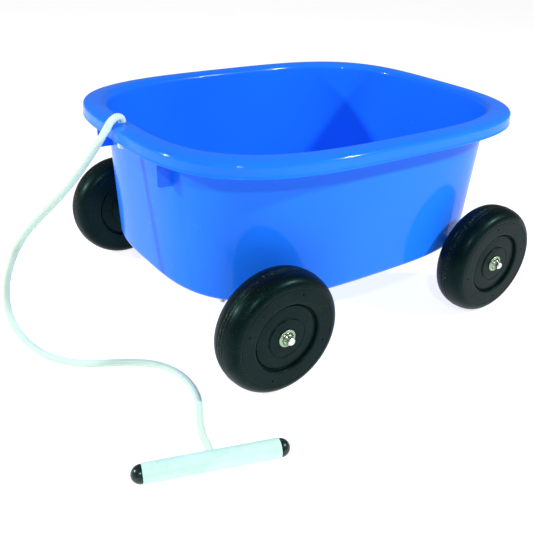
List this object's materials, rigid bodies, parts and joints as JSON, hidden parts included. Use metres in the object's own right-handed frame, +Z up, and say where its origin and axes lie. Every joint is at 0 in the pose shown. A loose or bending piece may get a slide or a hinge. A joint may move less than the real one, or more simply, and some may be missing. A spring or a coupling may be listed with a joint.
{
  "type": "kids pull wagon",
  "caption": "Moulded open tub on axles with free-turning moulded wheels, pulled by a braided rope that ends in a tube handle with domed end caps.",
  "frame": {"origin": "on the ground, midway between the four wheels' contact points", "axes": "+X to the wagon's right, +Y towards its rear, so -Y is the pull end, +Z up"},
  "size_m": [0.5661, 0.6903, 0.2815],
  "materials": {
    "tub_plastic": "glossy moulded polypropylene, bright blue",
    "wheel_plastic": "satin black blow-moulded polyethylene",
    "bush_plastic": "natural nylon",
    "spacer_plastic": "black extruded tube",
    "axle_steel": "zinc-plated rod",
    "strap_steel": "zinc-plated strip",
    "push_nut_steel": "bright plated spring steel",
    "fastener_steel": "zinc-plated",
    "rope_fibre": "braided white polyester rope",
    "handle_plastic": "white extruded tube",
    "cap_plastic": "soft black moulded cap"
  },
  "bodies": {
    "wagon": {"tub": "tub_plastic", "front_axle": "axle_steel", "rear_axle": "axle_steel", "front_left_spacer": "spacer_plastic", "front_left_strap": "strap_steel", "front_left_push_nut": "push_nut_steel", "front_right_spacer": "spacer_plastic", "front_right_strap": "strap_steel", "front_right_push_nut": "push_nut_steel", "rear_left_spacer": "spacer_plastic", "rear_left_strap": "strap_steel", "rear_left_push_nut": "push_nut_steel", "rear_right_spacer": "spacer_plastic", "rear_right_strap": "strap_steel", "rear_right_push_nut": "push_nut_steel", "hub_washers": "fastener_steel", "strap_bolts": "fastener_steel", "strap_washers": "fastener_steel", "strap_nuts": "fastener_steel", "pull_rope": "rope_fibre", "stopper_knot": "rope_fibre", "handle_tube": "handle_plastic", "handle_knot": "rope_fibre", "front_handle_cap": "cap_plastic", "rear_handle_cap": "cap_plastic"},
    "front_left_wheel_body": {"front_left_wheel": "wheel_plastic", "front_left_bush": "bush_plastic"},
    "front_right_wheel_body": {"front_right_wheel": "wheel_plastic", "front_right_bush": "bush_plastic"},
    "rear_left_wheel_body": {"rear_left_wheel": "wheel_plastic", "rear_left_bush": "bush_plastic"},
    "rear_right_wheel_body": {"rear_right_wheel": "wheel_plastic", "rear_right_bush": "bush_plastic"}
  },
  "joints": [
    {"name": "front_left_wheel_spin", "type": "hinge", "parent": "wagon", "child": "front_left_wheel_body", "pos_m": [-0.212, -0.176, 0.0762], "axis": [1, 0, 0], "continuous": true},
    {"name": "front_right_wheel_spin", "type": "hinge", "parent": "wagon", "child": "front_right_wheel_body", "pos_m": [0.212, -0.176, 0.0762], "axis": [1, 0, 0], "continuous": true},
    {"name": "rear_left_wheel_spin", "type": "hinge", "parent": "wagon", "child": "rear_left_wheel_body", "pos_m": [-0.212, 0.176, 0.0762], "axis": [1, 0, 0], "continuous": true},
    {"name": "rear_right_wheel_spin", "type": "hinge", "parent": "wagon", "child": "rear_right_wheel_body", "pos_m": [0.212, 0.176, 0.0762], "axis": [1, 0, 0], "continuous": true}
  ]
}
